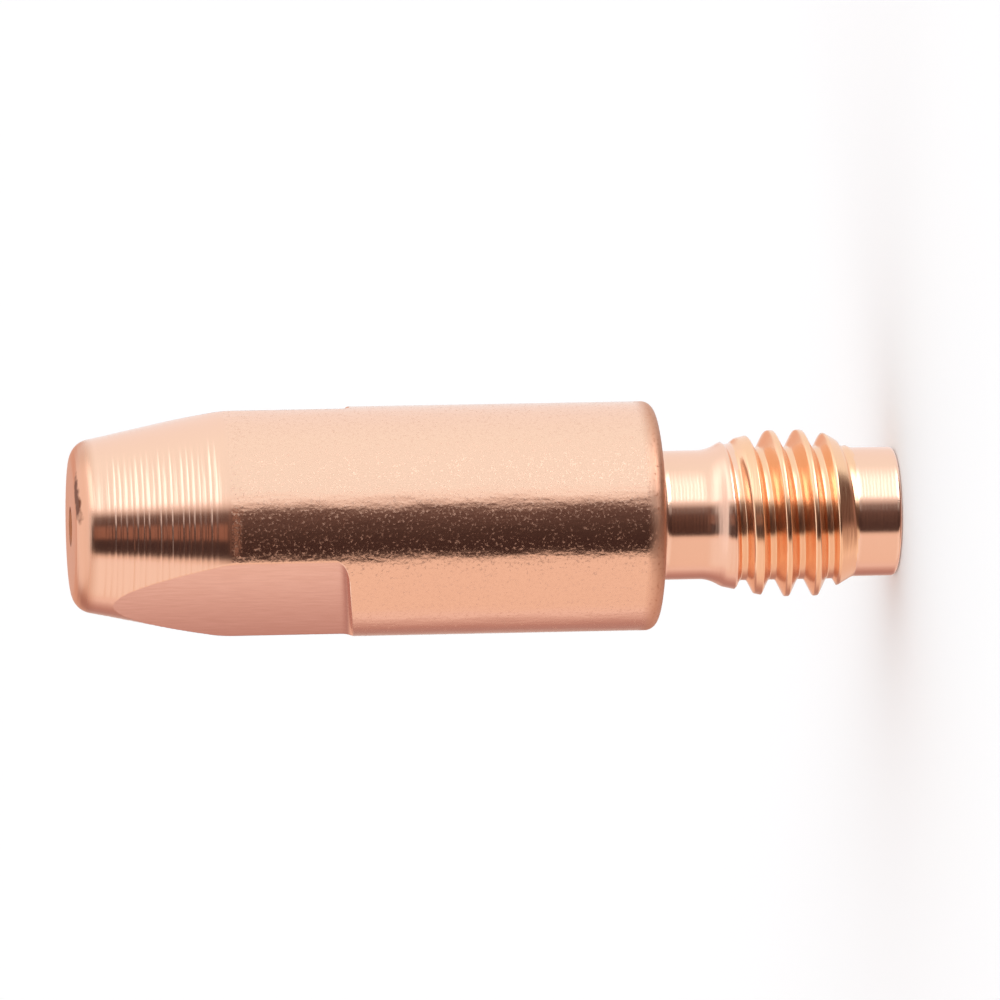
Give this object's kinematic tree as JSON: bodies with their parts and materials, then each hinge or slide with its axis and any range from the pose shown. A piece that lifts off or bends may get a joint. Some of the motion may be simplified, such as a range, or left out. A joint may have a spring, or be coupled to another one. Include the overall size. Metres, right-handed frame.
{
  "type": "welding contact tip",
  "caption": "Turned copper tip with a tapered nose, wrench flats, a threaded shank and a through bore that guides the welding wire and feeds it current.",
  "frame": {"origin": "centre of the end face beside the pilot, where the wire goes in and on which the tip stands", "axes": "+Z along the bore, the way the wire travels, from the threaded end to the nose; the wrench flats face +Y and -Y"},
  "size_m": [0.0078, 0.0078, 0.0285],
  "materials": {
    "copper": "turned nose and shank, satin drawn body, milled flats"
  },
  "bodies": {
    "root": {"contact_tip": "copper"}
  },
  "joints": []
}
